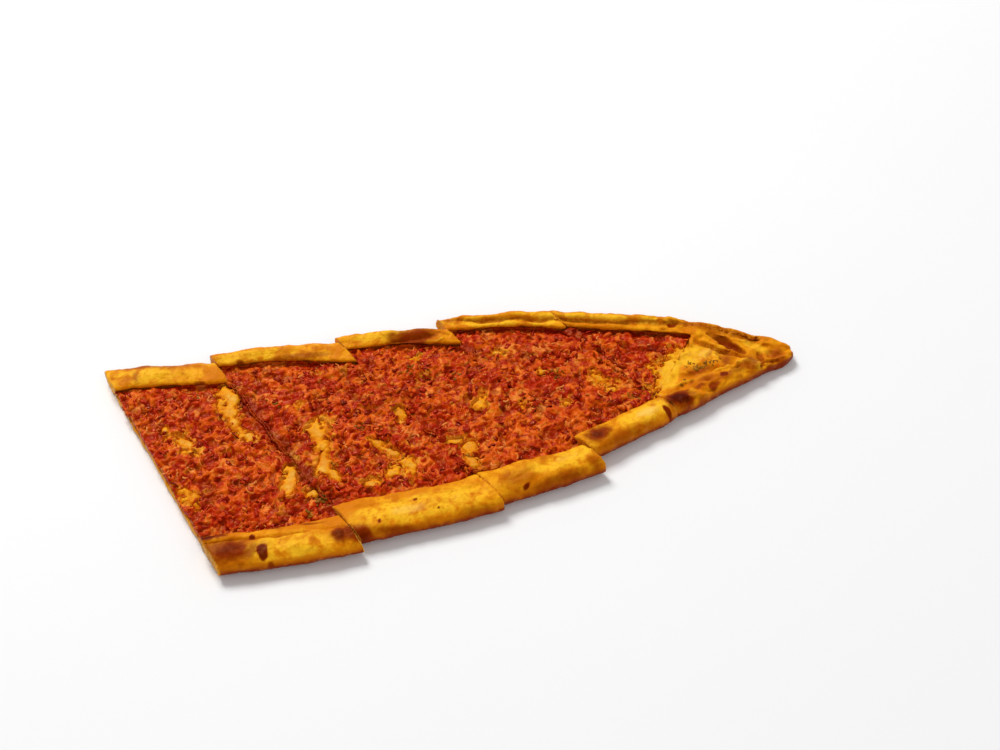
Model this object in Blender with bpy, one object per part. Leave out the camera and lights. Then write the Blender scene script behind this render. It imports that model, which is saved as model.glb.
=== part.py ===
"""Half of a long minced-meat pide, cut across into five slices that have slid a little along their cuts.

Metres, +Z up. X runs along the bread, from the cut end to the pinched tip, and Y across it.
The bread is first laid out whole: a boat outline about the X axis, with both long edges folded inwards.
A slice is a loft of slanted cross-sections between two knife cuts, and is then slid to its place.
"""

import math

import bmesh
import bpy
from mathutils import Vector

# The whole bread's outline, seen from above.
HALF_WIDTH = 0.088
TAPER_LENGTH = 0.117  # the outline closes on TAPER_END over about this length
TAPER_END = 0.197
KNOB_X = 0.180  # the pinched end: a rounded knob of dough, bent towards the front
KNOB_HALF_LENGTH = 0.014
KNOB_HALF_WIDTH = 0.0130
TIP_X = KNOB_X + KNOB_HALF_LENGTH
KNOB_BEND = 0.004
BEND_LENGTH = 0.050
PRESS_LENGTH = 0.022  # over this length before the knob the dough between the folds rises to meet them
PRESS_SHARE = 0.9

# The knife cuts, from the open end: where each crosses the X axis, and its lean from the Y axis.
CUT_X = (-0.192, -0.1205, -0.0385, 0.0295, 0.097)
CUT_LEAN = (21.3, 25.3, 28.0, 28.8, 29.5)
# How far each slice has slid back along its cuts, at its left and its right cut.
SLIDES = (
    (-0.0035, -0.0075),
    (-0.0015, -0.0005),
    (0.0028, 0.0034),
    (0.0135, 0.0180),
    (0.0185, 0.0195),
)
CUT_GAP = 0.0008

# Width of the folded edges of each slice: front left, front right, rear left, rear right.
FOLD_WIDTHS = (
    (0.0240, 0.0260, 0.0195, 0.0205),
    (0.0265, 0.0235, 0.0115, 0.0220),
    (0.0210, 0.0195, 0.0125, 0.0165),
    (0.0160, 0.0140, 0.0125, 0.0190),
    (0.0140, 0.0120, 0.0175, 0.0140),
)
# Depth of the crease along the top of each slice's rear fold.
REAR_CREASES = (0.0002, 0.0006, 0.0010, 0.0017, 0.0019)

# The dough and the filling, in cross-section.
FOLD_HEIGHT = 0.0125
LIP_TOP = 0.0100  # the folded flap's free edge, and the overhang under it
LIP_BOTTOM = 0.0084
LIP_OVERHANG = 0.0022
BASE_TOP = 0.0045
ROLL_SHARE = 0.40  # share of the fold's width taken by its rounded outer side
TOPPING_EDGE_TOP = 0.0079
TOPPING_TOP = 0.0092
CLEARANCE = 0.0003

# The dough that closes the tip starts at a line that crosses the X axis here and leans to the right.
CLOSED_X = 0.108
CLOSED_SLOPE = 0.75
CLOSED_TOP = 0.0092
NARROW = 0.025  # below this half-width the small offsets of the fold shrink with it

SECTION_SPACING = 0.0085
ROLL_STEPS = 8
FLAP_SHARES = (0.2, 0.4, 0.6, 0.8, 0.93)
FLOOR_SHARES = (0.66, 0.33, 0.0)
SOLVER_STEPS = 40
SHARP_ANGLE = 50.0  # degrees

CRUST_COLOUR = (0.78, 0.44, 0.08, 1.0)
TOPPING_COLOUR = (0.50, 0.09, 0.02, 1.0)


def wobble(x, size, phase):
    """An uneven hand-made swing of about +-size along the bread, the same on every run."""
    return size * (
        0.6 * math.sin(x / 0.0131 + phase)
        + 0.4 * math.sin(x / 0.0057 + 2.3 * phase)
    )


def outline(x):
    """Half-width of the whole bread at x."""
    body = HALF_WIDTH * (1 - math.exp(-max(TAPER_END - x, 0.0) / TAPER_LENGTH))
    along_knob = (x - KNOB_X) / KNOB_HALF_LENGTH
    if x < KNOB_X:
        return max(body, KNOB_HALF_WIDTH * math.exp(-along_knob * along_knob))
    return KNOB_HALF_WIDTH * math.sqrt(max(1 - along_knob * along_knob, 0.04))


def edge_distance(x, slope, side):
    """Distance from the axis at which the slanted section through (x, 0) meets the outline."""
    distance = HALF_WIDTH
    for _ in range(SOLVER_STEPS):
        distance = outline(x - side * slope * distance)
    return distance + wobble(x, 0.0007, 1.0 + side) * min(1.0, distance / NARROW)


def slice_at(x):
    """Index of the slice that holds x, and how far along it x lies, from 0 to 1."""
    ends = CUT_X[1:] + (TIP_X,)
    index = next((i for i, end in enumerate(ends) if x <= end), len(CUT_X) - 1)
    return index, (x - CUT_X[index]) / (ends[index] - CUT_X[index])


def fold_width(x, side, half_width):
    index, share = slice_at(x)
    left, right = FOLD_WIDTHS[index][0:2] if side < 0 else FOLD_WIDTHS[index][2:4]
    width = left + (right - left) * share**2 + wobble(x, 0.0008, 4.0 + side)
    return min(width, 0.62 * half_width)


def lowering(half_width):
    """The bread gets lower as well as narrower at its pinched end."""
    return min(1.0, 0.45 + 0.55 * half_width / NARROW)


def fold_height(x, side, half_width):
    return (FOLD_HEIGHT + wobble(x, 0.0006, 7.0 + side)) * lowering(half_width)


def pressed(x):
    """How far the channel between the folds is closed at x, from 0 to PRESS_SHARE."""
    along = min(max((x - KNOB_X) / PRESS_LENGTH + 1, 0.0), 1.0)
    return PRESS_SHARE * along * along * (3 - 2 * along)


def lean_slope(x):
    """Sideways slope of the section through (x, 0): that of the cuts, easing to square at the tip."""
    stations = CUT_X + (KNOB_X,)
    slopes = [math.tan(math.radians(lean)) for lean in CUT_LEAN] + [0.0]
    if x >= KNOB_X:
        return 0.0
    index = max(i for i, station in enumerate(stations[:-1]) if x >= station - 1e-9)
    share = (x - stations[index]) / (stations[index + 1] - stations[index])
    return slopes[index] + (slopes[index + 1] - slopes[index]) * share


def fold_profile(x, side, half_width):
    """Cross-section of one folded edge as (distance, height), from the underside round to the base's top."""
    width = fold_width(x, side, half_width)
    height = fold_height(x, side, half_width)
    closed = pressed(x)
    small = min(1.0, half_width / NARROW) * (1 - closed)
    low = lowering(half_width)
    roll = ROLL_SHARE * width
    index = slice_at(x)[0]
    crease = REAR_CREASES[index] * small if side > 0 else 0.0002
    points = []
    for step in range(ROLL_STEPS + 1):
        angle = math.radians(-90 + 180 * step / ROLL_STEPS)
        out = max(math.cos(angle), 0.0) ** 0.85
        up = math.copysign(abs(math.sin(angle)) ** 0.85, math.sin(angle))
        points.append((half_width - roll + roll * out, height / 2 * (1 + up)))
    for share in FLAP_SHARES:
        sink = crease * math.exp(-(((share - 0.4) / 0.2) ** 2))
        drop = (height - LIP_TOP * low) * share**1.8
        distance = half_width - roll - share * (width - roll)
        points.append((distance, height - drop - sink))
    inner = half_width - width
    wall = inner + LIP_OVERHANG * small
    edge = (
        (inner, (LIP_TOP + LIP_BOTTOM) / 2),
        (inner + 0.0008 * small, LIP_BOTTOM),
        (wall, LIP_BOTTOM),
        (wall, BASE_TOP),
    )
    points += [(distance, (up + (LIP_TOP - up) * closed) * low) for distance, up in edge]
    return points


def slide_at(x):
    """How far back along its section the dough at x has slid, with the bend of the knob."""
    index, share = slice_at(x)
    left, right = SLIDES[index]
    bend = min(max((x - TIP_X) / BEND_LENGTH + 1, 0.0), 1.0)
    return left + (right - left) * share - KNOB_BEND * bend * bend


def section_point(x, slope, y, z):
    y += slide_at(x)
    return Vector((x - slope * y, y, z))


def crust_section(x):
    """Closed ring of points round the folded dough at the section through (x, 0)."""
    slope = lean_slope(x)
    rear = edge_distance(x, slope, 1)
    front = edge_distance(x, slope, -1)
    rear_fold = fold_profile(x, 1, rear)
    front_fold = fold_profile(x, -1, front)
    ring = [(y, z) for y, z in rear_fold]
    floor_rear, floor_front = ring[-1], (-front_fold[-1][0], front_fold[-1][1])
    ring += [(floor_rear[0] * share, floor_rear[1]) for share in FLOOR_SHARES]
    ring += [(floor_front[0] * share, floor_front[1]) for share in FLOOR_SHARES[-2::-1]]
    ring += [(-y, z) for y, z in reversed(front_fold)]
    return [section_point(x, slope, y, z) for y, z in ring]


def channel_section(x, inset, bottom, edge_top, top):
    """Ring of points of what fills the channel between the folds, inset from the walls under the flaps."""
    slope = lean_slope(x)
    halves = []
    for side in (1, -1):
        half_width = edge_distance(x, slope, side)
        small = min(1.0, half_width / NARROW)
        low = lowering(half_width)
        inner = half_width - fold_width(x, side, half_width)
        wall = inner + LIP_OVERHANG * small - inset
        half = [(wall, bottom), (wall, edge_top), (inner - 0.0007, edge_top)]
        for share in (0.86, 0.5):
            half.append((inner * share, top + wobble(x + share * side * 0.1, 0.0003, 9.0)))
        halves.append([(distance, up * low) for distance, up in half])
    rear, front = halves
    ring = rear + [(0.0, rear[-1][1])] + [(-y, z) for y, z in reversed(front)]
    return [section_point(x, slope, y, z) for y, z in ring]


def stations(start, end):
    count = max(2, math.ceil((end - start) / SECTION_SPACING))
    return [start + (end - start) * i / count for i in range(count + 1)]


def loft(name, rings, material):
    """One closed solid, extruded from ring to ring. The rings have the same number of points."""
    mesh = bmesh.new()
    start = [mesh.verts.new(point) for point in rings[0]]
    face = mesh.faces.new(start)
    for ring in rings[1:]:
        face = bmesh.ops.extrude_discrete_faces(mesh, faces=[face])["faces"][0]
        for vertex, point in zip(face.verts, ring):
            vertex.co = point
    mesh.faces.new(start[::-1])
    bmesh.ops.recalc_face_normals(mesh, faces=mesh.faces)
    data = bpy.data.meshes.new(name)
    mesh.to_mesh(data)
    mesh.free()
    data.shade_smooth()
    data.set_sharp_from_angle(angle=math.radians(SHARP_ANGLE))
    data.materials.append(material)
    obj = bpy.data.objects.new(name, data)
    bpy.context.scene.collection.objects.link(obj)
    return obj


def trim(obj, gap, keep_tip):
    """Cuts obj along the line where the closed dough of the tip starts, and keeps one side of it."""
    normal = Vector((1.0, -CLOSED_SLOPE, 0.0)).normalized()
    mesh = bmesh.new()
    mesh.from_mesh(obj.data)
    cut = bmesh.ops.bisect_plane(
        mesh,
        geom=mesh.verts[:] + mesh.edges[:] + mesh.faces[:],
        plane_co=Vector((CLOSED_X + gap, 0.0, 0.0)),
        plane_no=normal,
        clear_inner=keep_tip,
        clear_outer=not keep_tip,
    )
    edges = [item for item in cut["geom_cut"] if isinstance(item, bmesh.types.BMEdge)]
    bmesh.ops.edgeloop_fill(mesh, edges=edges)
    bmesh.ops.recalc_face_normals(mesh, faces=mesh.faces)
    mesh.to_mesh(obj.data)
    mesh.free()


def close_tip(crust, material):
    """Joins the crust with the pressed dough that fills its channel from the closing line to the knob."""
    fill_stations = stations(CUT_X[-1] + 0.002, KNOB_X)
    rings = [
        channel_section(x, -0.0018, BASE_TOP / 2, LIP_TOP * 0.9, CLOSED_TOP)
        for x in fill_stations
    ]
    fill = loft("tip_fill", rings, material)
    trim(fill, 0.0, keep_tip=True)
    fill.hide_render = True
    fill.display_type = "WIRE"
    union = crust.modifiers.new("tip", "BOOLEAN")
    union.operation = "UNION"
    union.object = fill
    return fill


def material(name, colour, roughness):
    made = bpy.data.materials.new(name)
    made.use_nodes = True
    shader = made.node_tree.nodes["Principled BSDF"]
    shader.inputs["Base Color"].default_value = colour
    shader.inputs["Roughness"].default_value = roughness
    shader.inputs["Metallic"].default_value = 0.0
    return made


def centre(parent, parts):
    """Moves the bread so that the middle of its box, at its underside, is the origin."""
    bpy.context.view_layer.update()
    graph = bpy.context.evaluated_depsgraph_get()
    points = []
    for part in parts:
        evaluated = part.evaluated_get(graph)
        points += [evaluated.matrix_world @ vertex.co for vertex in evaluated.data.vertices]
    low = [min(point[axis] for point in points) for axis in range(3)]
    high = [max(point[axis] for point in points) for axis in range(3)]
    parent.location = (-(low[0] + high[0]) / 2, -(low[1] + high[1]) / 2, -low[2])


def build():
    for obj in list(bpy.data.objects):
        bpy.data.objects.remove(obj)
    crust_finish = material("crust", CRUST_COLOUR, 0.55)
    topping_finish = material("topping", TOPPING_COLOUR, 0.45)
    bread = bpy.data.objects.new("bread", None)
    bpy.context.scene.collection.objects.link(bread)
    ends = CUT_X[1:] + (TIP_X,)
    last = len(CUT_X)
    parts = []
    helpers = []
    for number, (left, right) in enumerate(zip(CUT_X, ends), 1):
        start = left + CUT_GAP / 2
        end = right - CUT_GAP / 2
        rings = [crust_section(x) for x in stations(start, end)]
        crust = loft(f"crust_slice_{number}", rings, crust_finish)
        topping_end = KNOB_X - 0.03 if number == last else end
        rings = [
            channel_section(x, CLEARANCE, BASE_TOP + CLEARANCE, TOPPING_EDGE_TOP, TOPPING_TOP)
            for x in stations(start, topping_end)
        ]
        topping = loft(f"topping_slice_{number}", rings, topping_finish)
        if number == last:
            trim(topping, -2 * CLEARANCE, keep_tip=False)
            helpers.append(close_tip(crust, crust_finish))
        parts += [crust, topping]
    for obj in parts + helpers:
        obj.parent = bread
    centre(bread, parts)


build()
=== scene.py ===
"""Looks for one half of a long minced-meat pide, cut into slices: baked dough, filling, crumbs and the stage."""

import math

import bpy
import numpy as np
from bpy.props import FloatProperty, FloatVectorProperty, IntProperty, PointerProperty
from bpy.types import Operator, Panel, PropertyGroup
from mathutils import Euler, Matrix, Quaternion, Vector
from mathutils.bvhtree import BVHTree


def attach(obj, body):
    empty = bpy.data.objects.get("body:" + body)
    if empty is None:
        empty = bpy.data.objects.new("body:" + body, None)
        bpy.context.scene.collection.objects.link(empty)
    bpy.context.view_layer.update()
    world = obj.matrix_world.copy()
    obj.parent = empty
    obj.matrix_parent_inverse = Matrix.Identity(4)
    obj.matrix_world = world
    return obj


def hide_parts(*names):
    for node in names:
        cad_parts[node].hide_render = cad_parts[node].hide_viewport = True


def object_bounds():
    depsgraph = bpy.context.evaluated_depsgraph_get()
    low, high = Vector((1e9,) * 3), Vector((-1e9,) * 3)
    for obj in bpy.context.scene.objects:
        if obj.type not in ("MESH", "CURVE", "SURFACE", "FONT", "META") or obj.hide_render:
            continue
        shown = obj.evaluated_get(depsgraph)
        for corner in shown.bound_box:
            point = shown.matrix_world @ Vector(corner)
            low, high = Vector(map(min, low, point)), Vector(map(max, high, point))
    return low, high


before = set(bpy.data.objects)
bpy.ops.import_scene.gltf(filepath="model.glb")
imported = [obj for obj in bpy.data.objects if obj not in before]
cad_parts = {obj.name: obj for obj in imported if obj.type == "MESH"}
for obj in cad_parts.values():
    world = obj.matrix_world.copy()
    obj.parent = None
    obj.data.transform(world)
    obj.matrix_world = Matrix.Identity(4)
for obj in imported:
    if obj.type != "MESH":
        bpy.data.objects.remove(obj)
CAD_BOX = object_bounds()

bl_info = {
    "name": "Minced-meat pide",
    "version": (1, 0, 0),
    "blender": (4, 5, 0),
    "location": "3D View > Sidebar > Pide",
    "description": "Bakes the dough and lays the filling of a sliced pide over its plain solids",
    "category": "Object",
}

BODY = "root"
SLICES = range(1, 6)
# Each knife cut from the wide end to the tip: how much painted shade darkens the filling along it and how sunken it is
# there, and how far (mm) its faces spread.
CUTS = ((0.0, 0.0), (1.0, 1.1), (0.3, 1.8), (0.0, 2.4), (0.0, 2.4))
MM = 0.001
IN_PLAN = (1.0, 1.0, 0.0)

# Heights (m) above the floor, and the place (m) along the bread where the bare tip begins.
BASE_TOP = 0.0048
FILLING_FOOT = 0.0047
LOWEST_REST = 0.005
FOLD_FLANK = 0.01
TIP_FROM = 0.115
# How far (m) the filling sinks at bare dough, how much more it sinks at the tip, and how much more the dough rises.
PATCH_SINK = 0.004
TIP_SINK = 0.002
TIP_RISE = 0.0018
# Spans over which one thing passes into the next, from the value where it starts to where it is complete.
UPWARD = (0.2, 0.6)
BASE_SKIN = (0.0036, 0.0045)
BASE_BELOW = (0.0068, 0.0058)
FOLD_ABOVE = (0.0065, 0.008)
FILLING_ABOVE = (0.0065, 0.0075)
CROWN_ABOVE = (0.01, 0.0126)
OFF_FLOOR = (0.0005, 0.003)
TIP_LEDGE = (0.105, 0.122)
TIP_HOLLOW = (0.112, 0.124)
TIP_WRINKLES = (0.12, 0.14)
OPEN_CUT = (0.005, 0.0006)
# How far (m) from a knife cut the skin still counts as cut, and the bend above which an edge stays sharp.
CUT_REACH = 0.0012
SHARP_BEND = math.radians(55)
# The faces of a knife cut lean no more than this, face along the bread at least this much, and have at least this
# area (m2) together.
MOST_LEAN = 0.02
LEAST_ENDWAYS = 0.8
LEAST_CUT_AREA = 1e-4
# Share of the loose bits that cling to a bare patch, and the height (m) that they drop from.
CLINGING = 0.8
DROP_FROM = 0.05
# The smallest and the largest size (m) of each kind of loose bit.
MEAT_SIZES = (0.0028, 0.0062)
PEPPER_SIZES = (0.0022, 0.0054)
ONION_SIZES = (0.0028, 0.005)
GREEN_SIZES = (0.0012, 0.0026)
HERB_SIZES = (0.0011, 0.0025)
# Coloured sheens: fat on the crust, oil on the mince, and oil on the loose bits.
CRUST_SHEEN = (1.0, 0.35, 0.05, 1.0)
MINCE_SHEEN = (1.0, 0.34, 0.06, 1.0)
BIT_SHEEN = (1.0, 0.38, 0.1, 1.0)
CRUST_IOR = 1.15
OIL_IOR = 1.3
# The floor's size and height (m), the camera's sensor (mm), and each light's place and size (m).
FLOOR_SIZE = 14.0
FLOOR_HEIGHT = -0.0002
SENSOR_WIDTH = 36.0
LIGHTS = (("key", (-0.7, 1.8, 2.4), 1.2), ("fill", (1.2, -2.0, 1.8), 1.6))

# Bare dough that shows through the filling: middle x and y, length, width (mm), turn (degrees) and bareness.
BARE_PATCHES = (
    (-134, 41, 22, 9, 96, 1.0),
    (-131, 24, 13, 5, 107, 0.9),
    (-124, 11, 13, 6, 139, 0.6),
    (-161, 15, 19, 9, 138, 0.55),
    (-157, 5, 13, 6, 147, 0.4),
    (-171, 26, 7, 5, 101, 0.3),
    (-159, -29, 15, 9, 105, 0.5),
    (-154, -36, 8, 6, 117, 0.3),
    (-82, 9, 16, 10, 91, 0.9),
    (-81, -7, 16, 7, 87, 0.7),
    (-82, -19, 14, 9, 91, 0.9),
    (-77, -28, 12, 5, 129, 0.7),
    (-102, -28, 25, 7, 80, 0.75),
    (-89, -40, 8, 6, 80, 0.6),
    (-51, -8, 12, 4, 147, 0.7),
    (-42, -19, 15, 4, 136, 0.8),
    (-34, -29, 14, 8, 88, 0.9),
    (-44, -33, 10, 6, 22, 0.75),
    (-56, -39, 14, 6, 167, 0.5),
    (-33, 11, 11, 8, 101, 0.25),
    (-5, -17, 16, 4, 2, 0.7),
    (1, -23, 12, 6, 84, 0.95),
    (2, -35, 9, 5, 82, 0.75),
    (14, 10, 13, 9, 83, 0.4),
    (64, -1, 10, 7, 78, 0.5),
    (88, 15, 18, 8, 129, 0.75),
    (93, 5, 11, 6, 120, 0.4),
    (37, 3, 8, 6, 81, 0.2),
    (56, 29, 12, 5, 168, 0.1),
    (33, 50, 12, 5, 167, 0.2),
    (-19, 57, 10, 5, 20, 0.1),
    (-94, 30, 10, 7, 23, 0.3),
    (137, 19, 24, 13, 22, 1.2),
    (129, 8, 22, 13, 60, 1.2),
    (121, -4, 16, 7, 65, 1.0),
)
# Browned places on the dough, some of them with painted shadow: middle x and y, length, width (mm), turn (degrees),
# strength and softness.
SCORCHES_AND_SHADOWS = (
    (-137, -75, 30, 15, 172, 0.95, 1.1),
    # Painted shadow at the left end of the first fold's crease, and painted shade in a notch.
    (-150, -62, 24, 6, 172, 1.1, 0.7),
    (-113, -63, 8, 3, 170, 1.0, 0.6),
    (-92, -65, 14, 2, 176, 0.6, 0.8),
    (-119, -80, 9, 6, 96, 1.0, 0.2),
    (-124, -68, 4, 3, 100, 0.9, 0.3),
    (-115, -87, 4, 4, 139, 0.6, 0.5),
    (-94, -89, 5, 4, 160, 0.8, 0.4),
    # The second fold's left end: browned, with painted shadow where the first fold overlaps it.
    (-77, -76, 10, 8, 100, 1.0, 0.8),
    (-69, -77, 22, 11, 170, 0.9, 0.9),
    (-22, -69, 2, 2, 87, 0.9, 0.3),
    (-55, -72, 3, 2, 91, 0.9, 0.3),
    (-34, -60, 2, 2, 88, 0.8, 0.3),
    (-1, -74, 22, 7, 4, 0.5, 1.0),
    (-47, -77, 43, 5, 177, 0.6, 1.0),
    (23, -56, 25, 17, 14, 0.42, 1.0),
    (28, -62, 5, 2.5, 40, 1.0, 0.5),
    (48, -60, 39, 6, 10, 0.55, 0.9),
    (69, -54, 12, 10, 74, 0.45, 1.0),
    (75, -33, 16, 11, 28, 1.0, 0.9),
    (89, -36, 38, 7, 21, 0.5, 1.0),
    (119, -23, 9, 3, 115, 0.9, 0.4),
    (129, -15, 16, 12, 9, 1.2, 0.9),
    (143, -7, 8, 4, 10, 0.6, 0.8),
    (140, -1, 6, 4, 60, 0.5, 0.8),
    (153, -7, 7, 4, 30, 0.7, 0.7),
    (143, -17, 9, 5, 20, 0.6, 0.9),
    (167, -8, 14, 4, 25, 0.7, 0.9),
    (176, 7, 9, 7, 70, 0.55, 0.8),
    (190, 3, 9, 5, 60, 0.6, 0.8),
    (181, -3, 8, 4, 30, 0.7, 0.8),
    (151, -8, 7, 5, 69, 0.7, 0.5),
    (160, 0, 5, 5, 52, 0.9, 0.4),
    (149, -1, 11, 8, 14, 0.5, 1.0),
    (170, 3, 41, 7, 23, 0.5, 0.8),
    (147, 8, 18, 6, 11, 0.6, 0.8),
    (166, 14, 16, 7, 72, 0.5, 1.0),
    (180, 8, 16, 11, 67, 0.55, 0.8),
    (198, 16, 11, 10, 26, 0.6, 0.8),
    (199, 8, 9, 7, 60, 0.5, 0.8),
    (171, 28, 22, 6, 131, 0.8, 0.6),
    (142, 50, 7, 4, 169, 0.8, 0.4),
    # The third slice's rear fold: browned, with painted shadow over it.
    (-19, 71, 32, 15, 0, 0.75, 0.8),
    (-88, 69, 37, 5, 174, 0.5, 0.6),
    (-125, 71, 6, 5, 147, 0.6, 0.5),
    (-180, 78, 52, 7, 168, 0.45, 0.9),
    (-188, 70, 11, 5, 94, 0.4, 0.6),
    (-150, 58, 7, 4, 162, 0.6, 0.5),
    (-171, 60, 15, 5, 166, 0.35, 0.6),
)
# Places where the dough is paler, in the same form; on the folds they are partly painted highlight. Over a strength of
# 1 they turn creamy.
PALE_AND_HIGHLIT_PLACES = (
    (-104, -79, 42, 14, 174, 0.95, 1.2),
    (-38, -66, 44, 13, 2, 1.25, 1.2),
    (-12, -64, 28, 13, 3, 0.95, 1.1),
    (52, -47, 32, 11, 12, 1.25, 1.2),
    (106, -22, 24, 10, 13, 1.5, 1.3),
    (131, 12, 29, 9, 71, 1.2, 0.9),
    (150, 22, 26, 14, 10, 1.55, 1.1),
    (187, 23, 17, 7, 136, 0.9, 0.8),
    (-185, 70, 44, 10, 170, 0.8, 1.2),
    (-119, 73, 46, 9, 175, 1.0, 1.2),
    (-38, 77, 24, 9, 3, 1.0, 1.2),
    (38, 74, 75, 7, 168, 1.0, 1.0),
    (99, 64, 87, 7, 165, 1.0, 1.0),
)
# Pleats of the dough, from one point to the other (mm), with a half-width and a height; a groove is negative.
PLEATS = (
    ((-160, -67), (-94, -70), 1.0, -1.6),
    ((-94, -69), (-74, -71), 1.0, -0.9),
    ((-71, -60), (3, -58), 1.1, -0.6),
    ((15, -57), (58, -45), 1.1, -0.7),
    ((69, -30), (105, -17), 1.1, -0.6),
    ((2, 83), (75, 68), 1.5, -1.9),
    ((75, 68), (150, 49), 1.6, -2.1),
    ((161, 38), (180, 19), 1.7, -3.2),
    ((153, 34), (181, 12), 1.2, -2.2),
    ((152, 52), (192, 30), 5.5, -3.2),
    ((121, -9), (132, -4), 1.3, -1.2),
    ((130, -3), (156, 4), 1.7, 1.5),
    ((156, 4), (176, 9), 1.7, 1.3),
    ((131, -8), (158, 0), 1.2, -1.0),
    ((162, 22), (168, 6), 2.0, -1.2),
    ((176, 14), (184, 2), 4.0, 1.5),
    ((188, 18), (184, -5), 1.6, -3.4),
    ((188, 15), (207, 18), 1.4, -2.4),
    ((186, 7), (202, 5), 1.2, -2.0),
    ((-29, 60), (-14, 60), 1.4, 1.2),
    ((-14, 60), (0, 67), 1.4, 1.2),
    ((-31, 68), (-3, 72), 1.8, -1.8),
    ((-6, 84), (6, 80), 1.1, -1.0),
    ((-8, 74), (4, 67), 1.2, -1.2),
)
# Where the green flecks lie: middle x and y, and spread (mm).
GREEN_PLACES = (
    (-85, -46, 2.2),
    (-85, -46, 2.2),
    (-93, -55, 1.6),
    (-105, 34, 1.4),
    (-24, 46, 1.8),
    (-58, 6, 1.6),
    (63, 25, 1.6),
    (104, -5, 1.8),
    (-76, -22, 1.3),
    (3, 36, 2.2),
    (-152, 49, 2.0),
    (1, -30, 1.2),
)
# Where the dry herbs lie, in the same form.
HERB_PLACES = (
    (146, 12, 1.6),
    (149, 11, 1.3),
    (143, 14, 1.5),
    (154, 12, 1.3),
    (158, 13, 1.5),
    (135, -1, 1.2),
    (162, 15, 2.5),
)


def smoothstep(low, high, value):
    """0 at low and 1 at high, with a soft start and end. It falls where low is the larger."""
    share = np.clip((value - low) / (high - low), 0.0, 1.0)
    return share * share * (3 - 2 * share)


def lattice(cells, seed):
    """One even random number from 0 to 1 for each whole-number cell, stirred up from large numbers."""
    mixed = cells[:, 0] * 73856093 ^ cells[:, 1] * 19349663 ^ cells[:, 2] * 83492791 ^ (seed * 2654435 + 97)
    mixed = (mixed ^ (mixed >> 13)) * 1274126177
    mixed = (mixed ^ (mixed >> 15)) * 911382323
    return ((mixed ^ (mixed >> 16)) & 0xFFFF) / 65535.0


def noise(points, size, seed):
    """Smooth noise from 0 to 1 whose lumps are about size wide."""
    scaled = points / size + 1000.0
    cells = np.floor(scaled).astype(np.int64)
    share = scaled - cells
    share = share * share * (3 - 2 * share)
    total = np.zeros(len(points))
    for corner in range(8):
        step = np.array([corner & 1, corner >> 1 & 1, corner >> 2 & 1])
        weight = np.prod(np.where(step, share, 1 - share), axis=1)
        total += weight * lattice(cells + step, seed)
    return total


def depth_in(points, patch, ragged):
    """How deep each point lies in a ragged ellipse: 1 at its middle and 0 at its outline."""
    x, y, length, width = [value * MM for value in patch[:4]]
    turn = math.radians(patch[4])
    across = points[:, 0] - x
    along = points[:, 1] - y
    u = (across * math.cos(turn) + along * math.sin(turn)) / (length / 2)
    v = (along * math.cos(turn) - across * math.sin(turn)) / (width / 2)
    return 1.0 - np.sqrt(u * u + v * v) + ragged


def raggedness(points, seed):
    """Uneven noise about zero, which frays an outline."""
    return 0.9 * (noise(points, 0.0045, seed) - 0.5) + 0.7 * (noise(points, 0.0018, seed + 1) - 0.5)


def bareness(points):
    """Over 0 where the filling leaves the dough bare, and under 0 elsewhere."""
    flat = points * IN_PLAN
    ragged = 1.5 * raggedness(flat, 11)
    return np.max([depth_in(flat, patch, ragged) - 0.7 * (1 - patch[5]) for patch in BARE_PATCHES], axis=0)


def marking(points, marks, seed):
    """How strongly each point is marked by a list of soft spots."""
    ragged = 0.45 * raggedness(points * (1.0, 1.0, 0.4), seed)
    total = np.zeros(len(points))
    for mark in marks:
        strength, softness = mark[5:]
        depth = depth_in(points, mark, ragged)
        total = np.maximum(total, strength * smoothstep(-0.8 * softness, 0.9 * softness, depth))
    return total


def pleating(points):
    """Height of the pleats at each point."""
    total = np.zeros(len(points))
    for (x0, y0), (x1, y1), half_width, height in PLEATS:
        start = np.array([x0, y0]) * MM
        run = np.array([x1 - x0, y1 - y0]) * MM
        length = np.linalg.norm(run)
        sway = (noise(points, 0.012, x0 + 300) - 0.5) * 0.003
        offset = points[:, :2] - start
        share = offset @ run / length**2
        distance = (offset[:, 0] * run[1] - offset[:, 1] * run[0]) / length + sway
        fade = smoothstep(-0.06, 0.06, share) * smoothstep(-0.06, 0.06, 1 - share)
        total += height * MM * fade * np.exp(-((distance / (half_width * MM)) ** 2))
    return total


def deselect_all():
    """Leaves nothing selected, so that an operator acts only on what is selected next."""
    for obj in bpy.context.selected_objects:
        obj.select_set(False)


def new_object(name, data):
    """A new object in the scene."""
    obj = bpy.data.objects.new(name, data)
    bpy.context.scene.collection.objects.link(obj)
    return obj


def activate(obj):
    """Makes one object the only selected and the active one."""
    deselect_all()
    obj.select_set(True)
    bpy.context.view_layer.objects.active = obj


def apply_modifiers(obj):
    """Turns an object's modifiers into its mesh, in their order."""
    activate(obj)
    for modifier in list(obj.modifiers):
        bpy.ops.object.modifier_apply(modifier=modifier.name)


def open_for_editing():
    """Opens the active object's mesh with all of it selected."""
    bpy.ops.object.mode_set(mode="EDIT")
    bpy.ops.mesh.select_all(action="SELECT")


def put_away(obj):
    """Removes a helper object with its mesh."""
    mesh = obj.data
    bpy.data.objects.remove(obj)
    bpy.data.meshes.remove(mesh)


def merged_copy(node, name):
    """A copy of a plain solid with its doubled corners merged."""
    obj = new_object(name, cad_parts[node].data.copy())
    obj.data.materials.clear()
    activate(obj)
    open_for_editing()
    bpy.ops.mesh.remove_doubles(threshold=1e-6)
    bpy.ops.mesh.tris_convert_to_quads()
    bpy.ops.mesh.normals_make_consistent(inside=False)
    bpy.ops.object.mode_set(mode="OBJECT")
    return obj


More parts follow.
